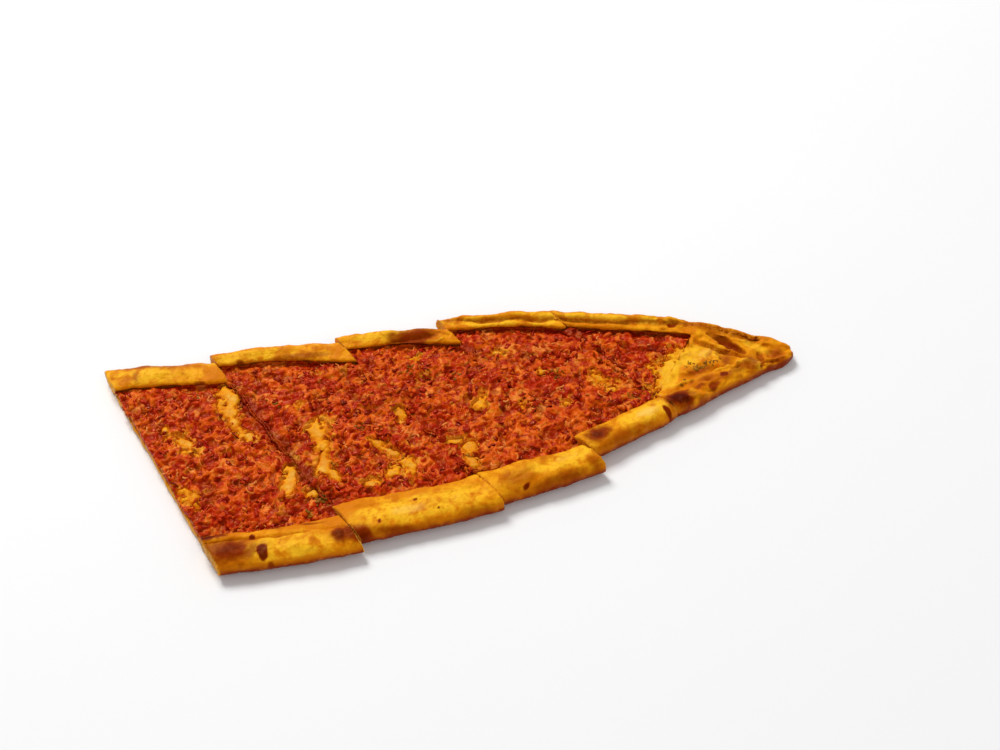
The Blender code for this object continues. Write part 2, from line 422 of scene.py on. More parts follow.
def cut_planes(mesh):
    """The flat knife cuts at a slice's two ends, each as a normal and its distance from the origin."""
    areas = {}
    for face in mesh.polygons:
        if abs(face.normal.z) < MOST_LEAN and abs(face.normal.x) > LEAST_ENDWAYS:
            key = (round(face.normal.x, 2), round(face.normal.y, 2))
            areas.setdefault(key, []).append(face)
    planes = []
    for side in (-1, 1):
        groups = [faces for key, faces in areas.items() if key[0] * side > 0]
        if not groups:
            continue
        largest = max(groups, key=lambda faces: sum(face.area for face in faces))
        if sum(face.area for face in largest) < LEAST_CUT_AREA:
            continue
        normal = largest[0].normal.copy()
        planes.append((np.array(normal), normal.dot(largest[0].center)))
    return planes


def crease_sharp_edges(mesh):
    """Keeps the sharp edges from being rounded by a subdivision."""
    normals = {}
    for face in mesh.polygons:
        for key in face.edge_keys:
            normals.setdefault(key, []).append(face.normal)
    crease = mesh.attributes.new("crease_edge", "FLOAT", "EDGE")
    for edge in mesh.edges:
        pair = normals[edge.key]
        if len(pair) == 2 and pair[0].angle(pair[1], 0.0) > SHARP_BEND:
            crease.data[edge.index].value = 1.0


def skinned(obj, size, soften):
    """Rounds the facets off and gives the solid an even, fine skin."""
    crease_sharp_edges(obj.data)
    rounding = obj.modifiers.new("rounding", "SUBSURF")
    rounding.levels = rounding.render_levels = 2
    skin = obj.modifiers.new("skin", "REMESH")
    skin.mode = "VOXEL"
    skin.voxel_size = size
    skin.use_smooth_shade = True
    smoothing = obj.modifiers.new("smoothing", "SMOOTH")
    smoothing.factor = 0.5
    smoothing.iterations = soften
    apply_modifiers(obj)


def read_vertices(mesh):
    """The mesh's corners and their normals, one row each."""
    points = np.empty(len(mesh.vertices) * 3)
    mesh.vertices.foreach_get("co", points)
    normals = np.empty(len(mesh.vertices) * 3)
    mesh.vertex_normals.foreach_get("vector", normals)
    return points.reshape(-1, 3), normals.reshape(-1, 3)


def write_vertices(mesh, points):
    """Moves the mesh's corners, and keeps them inside the plain solids' box."""
    low, high = [np.array(corner) for corner in CAD_BOX]
    mesh.vertices.foreach_set("co", np.clip(points, low, high).ravel())
    mesh.update()


def write_attributes(mesh, **named_values):
    """Gives each corner numbers that a material can read."""
    for name, values in named_values.items():
        attribute = mesh.attributes.new(name, "FLOAT", "POINT")
        attribute.data.foreach_set("value", np.asarray(values, dtype=np.float32))


def displace(obj, name, kind, size, strength, group="skin", **settings):
    """Lifts the skin by a procedural texture, in the same place on every run."""
    texture = bpy.data.textures.new(f"{obj.name}_{name}", kind)
    texture.noise_scale = size
    for key, value in settings.items():
        setattr(texture, key, value)
    modifier = obj.modifiers.new(name, "DISPLACE")
    modifier.texture = texture
    modifier.texture_coords = "LOCAL"
    modifier.strength = strength
    modifier.mid_level = 0.5
    modifier.vertex_group = group


def weigh(obj, name, weights):
    """Makes a vertex group from weights, rounded to twentieths."""
    group = obj.vertex_groups.new(name=name)
    steps = np.round(np.clip(weights, 0.0, 1.0) * 20).astype(int)
    for step in range(1, 21):
        members = np.nonzero(steps == step)[0].tolist()
        if members:
            group.add(members, step / 20, "REPLACE")


def off_plane(points, normal, distance):
    """How far each point lies from a plane, on either side of it."""
    return np.abs(points @ normal - distance)


def on_cuts(points, normals, planes):
    """1 on the knife-cut faces and 0 elsewhere."""
    total = np.zeros(len(points))
    for normal, distance in planes:
        near = smoothstep(CUT_REACH, CUT_REACH / 2, off_plane(points, normal, distance))
        total = np.maximum(total, near * smoothstep(0.6, 0.85, normals @ normal))
    return total


def finish_piece(obj, material, node=None):
    """Gives a piece its material, body and slot, and hides the plain solid that it stands for, if any."""
    obj.data.materials.clear()
    obj.data.materials.append(material)
    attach(obj, BODY)
    if node:
        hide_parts(node)


class Shader:
    """A material's node tree, built a node at a time."""

    def __init__(self, name):
        self.material = bpy.data.materials.new(name)
        self.material.use_nodes = True
        self.tree = self.material.node_tree
        self.place = self.add("ShaderNodeTexCoord").outputs["Object"]

    def add(self, kind, **settings):
        node = self.tree.nodes.new(kind)
        for key, value in settings.items():
            setattr(node, key, value)
        return node

    def put(self, value, socket):
        """Links a value from another node into a socket, or sets the socket to a number or colour."""
        if isinstance(value, bpy.types.NodeSocket):
            self.tree.links.new(value, socket)
        else:
            socket.default_value = value

    def feed(self, node, **values):
        for key, value in values.items():
            self.put(value, node.inputs[key.replace("_", " ")])

    def attribute(self, name):
        return self.add("ShaderNodeAttribute", attribute_name=name).outputs["Fac"]

    def noise(self, size, detail=3.0, roughness=0.55, distortion=0.0):
        """Noise in the piece's own space whose patches are about size (m) wide."""
        node = self.add("ShaderNodeTexNoise")
        self.feed(node, Vector=self.place, Scale=1.0 / size, Detail=detail, Roughness=roughness, Distortion=distortion)
        return node.outputs["Fac"]

    def range(self, value, low, high, start=0.0, end=1.0):
        """Start where value is at low and end where it is at high, with a soft pass between them."""
        node = self.add("ShaderNodeMapRange", interpolation_type="SMOOTHSTEP")
        self.feed(node, Value=value, From_Min=low, From_Max=high, To_Min=start, To_Max=end)
        return node.outputs["Result"]

    def maths(self, operation, first, second):
        node = self.add("ShaderNodeMath", operation=operation, use_clamp=True)
        self.put(first, node.inputs[0])
        self.put(second, node.inputs[1])
        return node.outputs["Value"]

    def plus(self, first, second):
        return self.maths("ADD", first, second)

    def times(self, first, second):
        return self.maths("MULTIPLY", first, second)

    def mix(self, share, first, second):
        """The first colour where share is 0 and the second where it is 1."""
        node = self.add("ShaderNodeMix", data_type="RGBA")
        self.put(share, node.inputs[0])
        for colour, socket in ((first, node.inputs[6]), (second, node.inputs[7])):
            linked = isinstance(colour, bpy.types.NodeSocket)
            self.put(colour if linked else (*colour, 1.0), socket)
        return node.outputs[2]

    def layer(self, colour, over, value, low, high, most=1.0):
        """The colour with another laid over it: none of it where value is at low, and most of it at high."""
        return self.mix(self.range(value, low, high, 0.0, most), colour, over)

    def bump(self, height, strength, distance, below=None):
        node = self.add("ShaderNodeBump")
        self.feed(node, Strength=strength, Distance=distance, Height=height)
        if below is not None:
            self.feed(node, Normal=below)
        return node.outputs["Normal"]

    def finish(self, **values):
        """Feeds the surface, and gives back the finished material."""
        self.feed(self.tree.nodes["Principled BSDF"], **values)
        return self.material


def colour_setting(name, description, value):
    """A colour that the panel shows."""
    return FloatVectorProperty(
        name=name, description=description, subtype="COLOR", size=3, min=0.0, max=1.0, default=value
    )


def length_setting(name, description, value):
    """A length that the panel shows."""
    return FloatProperty(name=name, description=description, default=value, min=0.0, precision=5, unit="LENGTH")


class PideDoughSettings(PropertyGroup):
    skin_size: length_setting("Skin size", "Edge length of the dough's fine skin", 0.0008)
    swelling: length_setting("Swelling", "Height of the broad swells of the crust", 0.0022)
    dimpling: length_setting("Dimpling", "Height of the small dimples of the crust", 0.0009)
    bare_height: length_setting("Bare height", "How far the base rises where no filling covers it", 0.0026)
    golden: colour_setting("Golden", "Well-baked crust", (0.9, 0.37, 0.007))
    orange: colour_setting("Orange", "Crust that took a deeper colour", (0.68, 0.19, 0.002))
    # Also the colour of the painted highlight on the folds' crowns and ridges.
    pale: colour_setting("Pale", "Crust that took little colour", (0.97, 0.52, 0.018))
    brown: colour_setting("Brown", "Browned crust", (0.235, 0.021, 0.0002))
    burnt: colour_setting("Burnt", "Burnt spots", (0.075, 0.004, 0.0001))
    crumb: colour_setting("Crumb", "Inside of the dough, at a cut", (0.93, 0.56, 0.1))
    uncovered: colour_setting("Uncovered", "Soft base where no filling lies", (0.77, 0.34, 0.028))
    stained: colour_setting("Stained", "Dough soaked with the filling's oil", (0.7, 0.19, 0.005))


class PideFillingSettings(PropertyGroup):
    skin_size: length_setting("Skin size", "Edge length of the filling's fine skin", 0.00062)
    lumps: length_setting("Lumps", "Height of the mince's lumps", 0.0019)
    shreds: length_setting("Shreds", "Height of the mince's shreds", 0.0015)
    meat_count: IntProperty(name="Meat crumbs", description="Number of loose meat crumbs", default=260)
    red_count: IntProperty(name="Pepper bits", description="Number of red pepper bits", default=520)
    onion_count: IntProperty(name="Onion strands", description="Number of onion strands", default=380)
    green_count: IntProperty(name="Green flecks", description="Number of green flecks", default=130)
    herb_count: IntProperty(name="Herb specks", description="Number of dry herb specks", default=56)
    # The painted shade in the gaps between the lumps, at the knife cuts and under the rear fold, and the own dark of
    # some crumbs and pepper bits.
    dark_and_shade: colour_setting("Dark", "Gaps between the lumps", (0.2, 0.006, 0.0004))
    red: colour_setting("Red", "Tomato and pepper colour of the mince", (0.51, 0.024, 0.0009))
    # Also the painted light on the lumps' tops.
    orange: colour_setting("Orange", "Fried, oily tops of the lumps", (0.72, 0.104, 0.0032))
    olive: colour_setting("Olive", "Mince with herbs and green pepper", (0.49, 0.15, 0.005))
    pepper: colour_setting("Pepper", "Red pepper skin", (0.37, 0.005, 0.0005))
    onion: colour_setting("Onion", "Cooked onion", (0.86, 0.26, 0.04))
    green: colour_setting("Green", "Cooked parsley and green pepper", (0.25, 0.105, 0.005))
    oily: colour_setting("Oily", "Thin filling around the bare dough", (0.74, 0.195, 0.006))
    bare: colour_setting("Bare", "The last of the filling over bare dough", (0.82, 0.34, 0.022))


class PideStageSettings(PropertyGroup):
    lens: FloatProperty(name="Lens", description="Focal length on a 36 mm sensor", default=48.1, unit="CAMERA")
    camera_at: FloatVectorProperty(
        name="Camera", description="Where the camera stands", subtype="TRANSLATION", default=(-0.054, -0.5411, 0.573)
    )
    looks_at: FloatVectorProperty(
        name="Target", description="The point the camera looks at", subtype="TRANSLATION", default=(0.0306, 0.0381, 0.0)
    )
    roll: FloatProperty(
        name="Roll", description="Turn about the line of sight", default=math.radians(-2.59), subtype="ANGLE"
    )
    key: FloatProperty(name="Key light", description="Power of the main light", default=76.0, unit="POWER")
    fill: FloatProperty(name="Fill light", description="Power of the front light", default=14.0, unit="POWER")
    sky: FloatProperty(name="Sky", description="Strength of the light from all round", default=0.385)


def baked_dough(settings):
    """Golden crust with a mottled bloom, browned and burnt places, and an open crumb at the cuts."""
    shader = Shader("baked_dough")
    broad = shader.noise(0.02)
    middle = shader.noise(0.0095, distortion=0.3)
    mottle = shader.noise(0.0058, roughness=0.6, distortion=0.3)
    freckle = shader.noise(0.0022)
    fine = shader.noise(0.0008, roughness=0.6)
    scorch = shader.attribute("scorch")
    colour = shader.layer(settings.orange, settings.golden, broad, 0.38, 0.58)
    # Paler dough, and painted highlight on the folds' crowns and ridges.
    pale = shader.range(shader.attribute("pale"), 0.05, 0.75)
    pale = shader.times(pale, shader.range(mottle, 0.3, 0.55, 0.55, 1.0))
    colour = shader.mix(pale, colour, settings.pale)
    colour = shader.layer(colour, settings.orange, middle, 0.48, 0.66, 0.9)
    colour = shader.layer(colour, settings.brown, middle, 0.58, 0.78, 0.5)
    bloom = shader.times(shader.range(mottle, 0.42, 0.68, 0.0, 0.8), shader.range(pale, 0.0, 1.0, 1.0, 0.25))
    colour = shader.mix(bloom, colour, settings.orange)
    colour = shader.layer(colour, settings.orange, freckle, 0.46, 0.7, 0.45)
    colour = shader.layer(colour, settings.brown, freckle, 0.62, 0.78, 0.3)
    colour = shader.layer(colour, settings.brown, mottle, 0.64, 0.8, 0.6)
    # The lower outer flanks turn orange and brown: partly the browner underside, partly painted shade.
    low_brown_and_shade = shader.times(shader.attribute("low"), shader.range(mottle, 0.25, 0.6, 0.65, 1.0))
    colour = shader.layer(colour, settings.orange, low_brown_and_shade, 0.0, 0.45)
    colour = shader.layer(colour, settings.brown, low_brown_and_shade, 0.25, 0.95)
    colour = shader.layer(colour, settings.crumb, shader.attribute("pale"), 1.0, 1.75)
    colour = shader.layer(colour, settings.stained, shader.attribute("oily"), 0.1, 0.9, 0.85)
    # Painted shade in the pleats' grooves, towards brown.
    crease = shader.times(shader.attribute("crease"), shader.range(freckle, 0.3, 0.6, 0.6, 1.0))
    colour = shader.mix(crease, colour, settings.brown)
    # Browned and burnt places, some of which are painted shadow.
    browning = shader.times(shader.range(scorch, 0.0, 0.8), shader.range(mottle, 0.25, 0.6, 0.88, 1.0))
    colour = shader.mix(browning, colour, settings.brown)
    burning = shader.times(shader.range(scorch, 0.7, 1.15), shader.range(mottle, 0.3, 0.6, 0.75, 1.0))
    colour = shader.mix(burning, colour, settings.burnt)
    colour = shader.mix(shader.attribute("cut"), colour, shader.mix(freckle, settings.crumb, settings.golden))
    patchy = shader.plus(shader.times(shader.attribute("bare"), 0.75), shader.range(mottle, 0.35, 0.65, 0.0, 0.4))
    film = shader.layer(settings.stained, settings.golden, patchy, 0.1, 0.5)
    film = shader.layer(film, settings.uncovered, patchy, 0.4, 0.85)
    film = shader.layer(film, settings.crumb, patchy, 0.75, 1.2, 0.65)
    film = shader.layer(film, settings.stained, middle, 0.44, 0.62, 0.5)
    film = shader.layer(film, settings.stained, freckle, 0.5, 0.68, 0.6)
    film = shader.mix(shader.times(pale, 0.75), film, settings.pale)
    colour = shader.mix(shader.attribute("base"), colour, film)
    pores = shader.bump(fine, 0.25, 0.0004)
    freckled = shader.bump(freckle, 0.4, 0.0009, below=pores)
    return shader.finish(
        Base_Color=colour,
        Roughness=shader.range(mottle, 0.3, 0.7, 0.34, 0.52),
        IOR=CRUST_IOR,
        Specular_IOR_Level=0.8,
        Specular_Tint=CRUST_SHEEN,
        Normal=shader.bump(mottle, 0.5, 0.0016, below=freckled),
    )


def mince_colour(shader, settings):
    """Red, orange and olive in patches and shreds, the same for the mince and the crumbs that lie on it."""
    broad = shader.noise(0.026, detail=2.0)
    region = shader.noise(0.0115, roughness=0.6, distortion=0.8)
    patch = shader.noise(0.008, detail=2.0, distortion=1.4)
    herby = shader.noise(0.015, roughness=0.6)
    colour = shader.layer(settings.red, settings.orange, region, 0.43, 0.57)
    colour = shader.layer(colour, settings.orange, broad, 0.5, 0.66, 0.75)
    colour = shader.layer(colour, settings.red, broad, 0.46, 0.34, 0.65)
    colour = shader.layer(colour, settings.olive, herby, 0.58, 0.7, 0.8)
    colour = shader.layer(colour, settings.pepper, patch, 0.51, 0.6, 0.9)
    colour = shader.layer(colour, settings.onion, patch, 0.43, 0.32, 0.75)
    soaked = shader.plus(shader.attribute("thin"), shader.range(patch, 0.6, 0.38, -0.35, 0.35))
    colour = shader.layer(colour, settings.oily, soaked, 0.2, 0.75)
    return shader.layer(colour, settings.bare, soaked, 0.65, 1.1), patch


def wet_surface(shader, colour, fine, roughness, level, sheen, normal):
    """An oily finish that is a little rougher in places."""
    return shader.finish(
        Base_Color=colour,
        Roughness=shader.range(fine, 0.3, 0.7, *roughness),
        IOR=OIL_IOR,
        Specular_IOR_Level=level,
        Specular_Tint=sheen,
        Normal=normal,
    )


def oily_mince(settings):
    """Fried mince wet with oil: red, with painted shade in the gaps between the lumps and painted light making their
    tops orange.
    """
    shader = Shader("oily_mince")
    relief = shader.attribute("relief")
    fine = shader.noise(0.0016, roughness=0.6)
    colour, patch = mince_colour(shader, settings)
    thick = shader.range(shader.attribute("thin"), 0.15, 0.65, 1.0, 0.0)
    # Painted shade: the lumps' low places darken, less where the filling is thin.
    recess_shade = shader.times(shader.range(relief, 0.02, 0.42, 0.6, 0.0), thick)
    colour = shader.mix(recess_shade, colour, settings.dark_and_shade)
    # Painted light: the lumps' high places turn orange.
    colour = shader.layer(colour, settings.orange, relief, 0.62, 1.0, 0.35)
    # Painted shade along the open knife cuts and painted shadow under the rear fold.
    colour = shader.mix(shader.attribute("trench"), colour, settings.dark_and_shade)
    colour = shader.layer(colour, settings.onion, fine, 0.64, 0.8, 0.35)
    normal = shader.bump(patch, 0.5, 0.0016, below=shader.bump(fine, 0.35, 0.0007))
    return wet_surface(shader, colour, fine, (0.24, 0.48), 0.62, MINCE_SHEEN, normal)


def fried_crumbs(settings):
    """Loose crumbs of the same mince, some lighter and some darker than what they lie on."""
    shader = Shader("fried_crumbs")
    tone = shader.attribute("tone")
    fine = shader.noise(0.0012, detail=4.0, roughness=0.65)
    colour, patch = mince_colour(shader, settings)
    colour = shader.layer(colour, settings.red, tone, 0.35, 0.0, 0.65)
    colour = shader.layer(colour, settings.orange, tone, 0.5, 0.85, 0.6)
    colour = shader.layer(colour, settings.onion, tone, 0.84, 1.0, 0.5)
    colour = shader.mix(shader.range(fine, 0.32, 0.55, 0.4, 0.0), colour, settings.dark_and_shade)
    colour = shader.layer(colour, settings.onion, fine, 0.62, 0.8, 0.35)
    normal = shader.bump(patch, 0.4, 0.0012, below=shader.bump(fine, 0.4, 0.0008))
    return wet_surface(shader, colour, fine, (0.24, 0.46), 0.85, BIT_SHEEN, normal)


def bit_finish(name, low, middle, high, roughness):
    """Colour that varies from one loose bit to the next, and a little over each."""
    shader = Shader(name)
    tone = shader.attribute("tone")
    fine = shader.noise(0.0011, roughness=0.6)
    colour = shader.layer(low, middle, tone, 0.0, 0.55)
    colour = shader.layer(colour, high, tone, 0.45, 1.0)
    colour = shader.mix(shader.range(fine, 0.3, 0.6, 0.4, 0.0), colour, low)
    normal = shader.bump(fine, 0.45, 0.0006)
    return wet_surface(shader, colour, fine, (roughness, roughness + 0.2), 0.9, BIT_SHEEN, normal)


def bake_slice(number, settings, material):
    """One slice's dough: an uneven skin with pleats, blisters, and swellings where no filling covers it."""
    obj = merged_copy(f"crust_slice_{number}", f"dough_{number}")
    planes = cut_planes(obj.data)
    skinned(obj, settings.skin_size, 4)
    points, normals = read_vertices(obj.data)
    upward = smoothstep(*UPWARD, normals[:, 2])
    base = upward * smoothstep(*BASE_BELOW, points[:, 2])
    depth = bareness(points)
    pleats = pleating(points) * (upward * smoothstep(*FOLD_ABOVE, points[:, 2]))
    # Bare dough swells up through the filling.
    bare_height = settings.bare_height + TIP_RISE * smoothstep(*TIP_LEDGE, points[:, 0])
    floor = BASE_TOP + bare_height * smoothstep(-0.5, 0.25, depth)
    lift = np.maximum(floor - points[:, 2], 0.0) * smoothstep(*BASE_SKIN, points[:, 2])
    points[:, 2] += lift * smoothstep(-0.5, -0.4, depth)
    points += normals * pleats[:, None]
    # The knife left each cut face a little torn.
    for normal, distance in planes:
        at_cut = smoothstep(0.001, 0.0002, off_plane(points, normal, distance))
        torn = 0.0002 + 0.0014 * (noise(points, 0.0045, 61) - 0.5)
        points += (torn * at_cut)[:, None] * normal
    write_vertices(obj.data, points)
    cuts = on_cuts(points, normals, planes)
    away = smoothstep(*OFF_FLOOR, points[:, 2]) * (1 - cuts)
    weigh(obj, "skin", away * (1 - 0.4 * base))
    displace(obj, "swell", "CLOUDS", 0.014, settings.swelling, noise_depth=1)
    displace(obj, "dimples", "CLOUDS", 0.0045, settings.dimpling, noise_depth=2)
    weigh(obj, "tip", away * smoothstep(*TIP_WRINKLES, points[:, 0]) * smoothstep(0.35, 0.75, normals[:, 2]))
    displace(obj, "wrinkles", "DISTORTED_NOISE", 0.0075, 0.0014, group="tip", distortion=1.0)
    weigh(obj, "cuts", cuts)
    displace(obj, "pores", "CLOUDS", 0.002, 0.001, group="cuts", noise_depth=2)
    apply_modifiers(obj)
    obj.vertex_groups.clear()
    points, normals = read_vertices(obj.data)
    write_vertices(obj.data, points)
    # The outer flanks turn browner towards the bottom: partly the browner underside, partly painted shade.
    underside_brown_and_shade = smoothstep(0.96, 0.3, normals[:, 2]) * smoothstep(0.0126, 0.003, points[:, 2])
    near_filling = smoothstep(0.0104, 0.009, points[:, 2]) * upward * (1 - base)
    # Painted highlight on the flat crowns of the folds.
    crown_highlight = smoothstep(*CROWN_ABOVE, points[:, 2]) * smoothstep(0.7, 0.97, normals[:, 2]) * (number < 5)
    # Painted highlight along the pleats' ridges.
    ridge_highlight = smoothstep(0.0002, 0.0013, pleats)
    paler = smoothstep(-0.13, -0.1, points[:, 0]) if number == 1 else 0.0
    raised = smoothstep(-0.3, 0.1, depth) * smoothstep(0.0112, 0.0102, points[:, 2]) * upward * (1 - cuts)
    write_attributes(
        obj.data,
        # Browned places, some of them painted shadow.
        scorch=marking(points, SCORCHES_AND_SHADOWS, 51),
        # Paler dough, and painted highlight on the crowns and ridges.
        pale=marking(points, PALE_AND_HIGHLIT_PLACES, 57) + 0.18 * crown_highlight + 0.5 * ridge_highlight,
        cut=cuts * ((0.55 if number < 4 else 0.2) + 0.45 * paler),
        low=underside_brown_and_shade * (1 - cuts),
        # Painted shade in the grooves of the pleats.
        crease=smoothstep(0.0005, 0.0018, -pleats) * 0.7,
        bare=smoothstep(-0.1, 1.0, depth),
        base=np.maximum(smoothstep(-0.9, -0.5, depth) * base, raised),
        oily=near_filling * (0.55 if number < 5 else 0.3),
    )
    finish_piece(obj, material, f"crust_slice_{number}")


def knife_cuts():
    """Every cut face from the wide end to the tip, as a normal and its distance from the origin."""
    found = []
    for number in SLICES:
        obj = merged_copy(f"crust_slice_{number}", "cut_finder")
        found += cut_planes(obj.data)
        put_away(obj)
    return found


def open_cut(points, planes):
    """1 in the filling that a knife cut pulled apart, and 0 away from the cuts."""
    flat = points * IN_PLAN
    sway = 0.0075 * (noise(flat, 0.011, 83) - 0.5) + 0.003 * (noise(flat, 0.0035, 84) - 0.5)
    total = np.zeros(len(points))
    for face, (normal, distance) in enumerate(planes):
        openness, _ = CUTS[(face + 1) // 2]
        gap = np.abs(points @ normal - distance + sway)
        total = np.maximum(total, openness * smoothstep(*OPEN_CUT, gap))
    return total


def fold_shadow_band(points):
    """1 close to the filling's rear edge, under and just in front of the fold, where a painted shadow of the fold lies,
    and 0 elsewhere.
    """
    rows = np.round(points[:, 0] / 0.002).astype(int)
    rows -= rows.min()
    edge = np.full(rows.max() + 1, -1.0)
    np.maximum.at(edge, rows, points[:, 1])
    gap = edge[rows] - points[:, 1] + 0.003 * (noise(points, 0.006, 77) - 0.5)
    return smoothstep(0.0055, 0.002, gap) * (0.35 + 0.65 * smoothstep(-0.04, 0.02, points[:, 0]))


def fill_slice(number, settings, material, planes):
    """One slice's filling: fried mince in rough lumps that sinks away where the dough is bare."""
    obj = merged_copy(f"topping_slice_{number}", f"filling_{number}")
    own_planes = cut_planes(obj.data)
    skinned(obj, settings.skin_size, 2)
    points, normals = read_vertices(obj.data)
    upward = smoothstep(*UPWARD, normals[:, 2]) * smoothstep(*FILLING_ABOVE, points[:, 2])
    depth = bareness(points)
    bare = smoothstep(-0.4, 0.4, depth)
    heaps = noise(points * IN_PLAN, 0.012, 5) - 0.5
    # Painted shade along the open knife cuts, where the filling also sinks.
    trench = open_cut(points, planes) * (0.55 + 0.9 * noise(points, 0.006, 91))
    # Painted shadow of the rear fold on the filling, where the filling also sinks.
    shade = fold_shadow_band(points)
    # The filling heaps up, and sinks at bare dough, at open cuts and under the rear fold.
    sunk = PATCH_SINK + TIP_SINK * smoothstep(*TIP_HOLLOW, points[:, 0])
    points[:, 2] += upward * (0.0026 * heaps - sunk * bare - 0.0005 * trench - 0.001 * shade)
    # The two faces of a cut spread until they meet, along a line that wanders.
    for (_, spread), (normal, distance) in zip(CUTS[number - 1 :], own_planes):
        at_cut = smoothstep(0.0015, 0.0002, off_plane(points, normal, distance))
        wander = 2.2 * (noise(points * IN_PLAN, 0.006, 95) - 0.5) * math.copysign(1.0, normal[0])
        points += (spread * MM * (1.0 + wander) * at_cut)[:, None] * normal
    write_vertices(obj.data, points)
    weigh(obj, "skin", (0.5 + 0.5 * upward) * (1 - 0.35 * bare))
    displace(obj, "lumps", "VORONOI", 0.0078, -settings.lumps, noise_intensity=1.0)
    displace(obj, "shreds", "DISTORTED_NOISE", 0.0085, settings.shreds, distortion=1.5)
    displace(obj, "strings", "DISTORTED_NOISE", 0.0052, 0.0009, distortion=1.6)
    before = points.copy()
    apply_modifiers(obj)
    obj.vertex_groups.clear()
    points, _ = read_vertices(obj.data)
    points[:, 2] = np.maximum(points[:, 2], FILLING_FOOT)
    write_vertices(obj.data, points)
    relief = np.einsum("ij,ij->i", points - before, normals)
    low, high = np.percentile(relief, (4, 96))
    write_attributes(
        obj.data,
        relief=np.clip((relief - low) / (high - low), 0, 1),
        # Painted shade at the knife cuts and painted shadow under the rear fold.
        trench=np.maximum(trench * 0.7, shade * 0.75),
        thin=smoothstep(-1.3, 0.3, depth),
    )
    finish_piece(obj, material, f"topping_slice_{number}")


def taken_apart(obj):
    """The corners, about their middle, and the faces of a modelled shape, which is then put away."""
    corners = np.array([vertex.co[:] for vertex in obj.data.vertices])
    faces = [tuple(face.vertices) for face in obj.data.polygons]
    put_away(obj)
    return corners - (corners.min(axis=0) + corners.max(axis=0)) / 2, faces


def lump_shape(seed, stretch):
    """A rounded uneven lump about one unit across."""
    deselect_all()
    bpy.ops.mesh.primitive_uv_sphere_add(segments=7, ring_count=5, radius=0.5)
    obj = bpy.context.object
    open_for_editing()
    bpy.ops.transform.vertex_random(offset=0.2, seed=seed)
    bpy.ops.transform.resize(value=stretch)
    bpy.ops.object.mode_set(mode="OBJECT")
    return taken_apart(obj)


def chip_shape(seed, bow, thickness, ragged):
    """A thin curved chip about one unit long."""
    deselect_all()
    bpy.ops.mesh.primitive_plane_add(size=1.0)
    obj = bpy.context.object
    bpy.ops.object.mode_set(mode="EDIT")
    bpy.ops.mesh.subdivide(number_cuts=2)
    bpy.ops.mesh.select_all(action="SELECT")
    bpy.ops.transform.resize(value=(1.0, 0.55, 1.0))
    bpy.ops.transform.vertex_random(offset=ragged, seed=seed)
    bpy.ops.object.mode_set(mode="OBJECT")
    for vertex in obj.data.vertices:
        vertex.co.z += bow * (0.25 - vertex.co.x**2) + 0.3 * bow * vertex.co.y
    wall = obj.modifiers.new("wall", "SOLIDIFY")
    wall.thickness = thickness
    wall.offset = 0.0
    apply_modifiers(obj)
    return taken_apart(obj)


def strand_shape(sweep, thickness):
    """A curled strand about one unit across: a small ring of corners swept round part of a circle."""
    deselect_all()
    bpy.ops.mesh.primitive_circle_add(
        vertices=5, radius=thickness, fill_type="NGON", location=(0.5, 0, 0), rotation=(math.pi / 2, 0, 0)
    )
    obj = bpy.context.object
    open_for_editing()
    bpy.ops.mesh.spin(steps=6, angle=sweep, center=(0, 0, 0), axis=(0, 0, 1))
    bpy.ops.mesh.select_all(action="SELECT")
    bpy.ops.mesh.normals_make_consistent(inside=False)
    bpy.ops.object.mode_set(mode="OBJECT")
    bpy.ops.object.transform_apply(location=True, rotation=True, scale=True)
    return taken_apart(obj)


def surface_trees():
    """What a bit can land on: the skins of the dough and of the filling, for straight drops."""
    graph = bpy.context.evaluated_depsgraph_get()
    names = [f"{kind}_{number}" for kind in ("filling", "dough") for number in SLICES]
    return {name: BVHTree.FromObject(bpy.data.objects[name], graph) for name in names}


def landing(trees, x, y):
    """The highest surface under (x, y): its piece, point and normal."""
    best = None
    for name, tree in trees.items():
        point, normal, _, _ = tree.ray_cast(Vector((x, y, DROP_FROM)), Vector((0.0, 0.0, -1.0)))
        if point is not None and (best is None or point.z > best[1].z):
            best = (name, point, normal)
    return best


def drop_points(draw, count, places):
    """Random points over the filling, or near the given places, kept off bare dough and knife cuts."""
    low, high = CAD_BOX
    points = np.zeros((count, 3))
    if places:
        chosen = np.array(places)[draw.integers(len(places), size=count)] * MM
        points[:, :2] = chosen[:, :2] + draw.normal(size=(count, 2)) * chosen[:, 2:]
        return points
    points[:, :2] = draw.uniform(low[:2], high[:2], (count, 2))
    clear = bareness(points) < draw.choice((-0.45, -0.25, -0.05, 0.15, 0.9), count)
    planes = knife_cuts()
    clear &= open_cut(points, planes) < draw.uniform(0.25, 1.25, count)
    clear &= off_plane(points, *planes[0]) > 0.0016
    return points[clear]


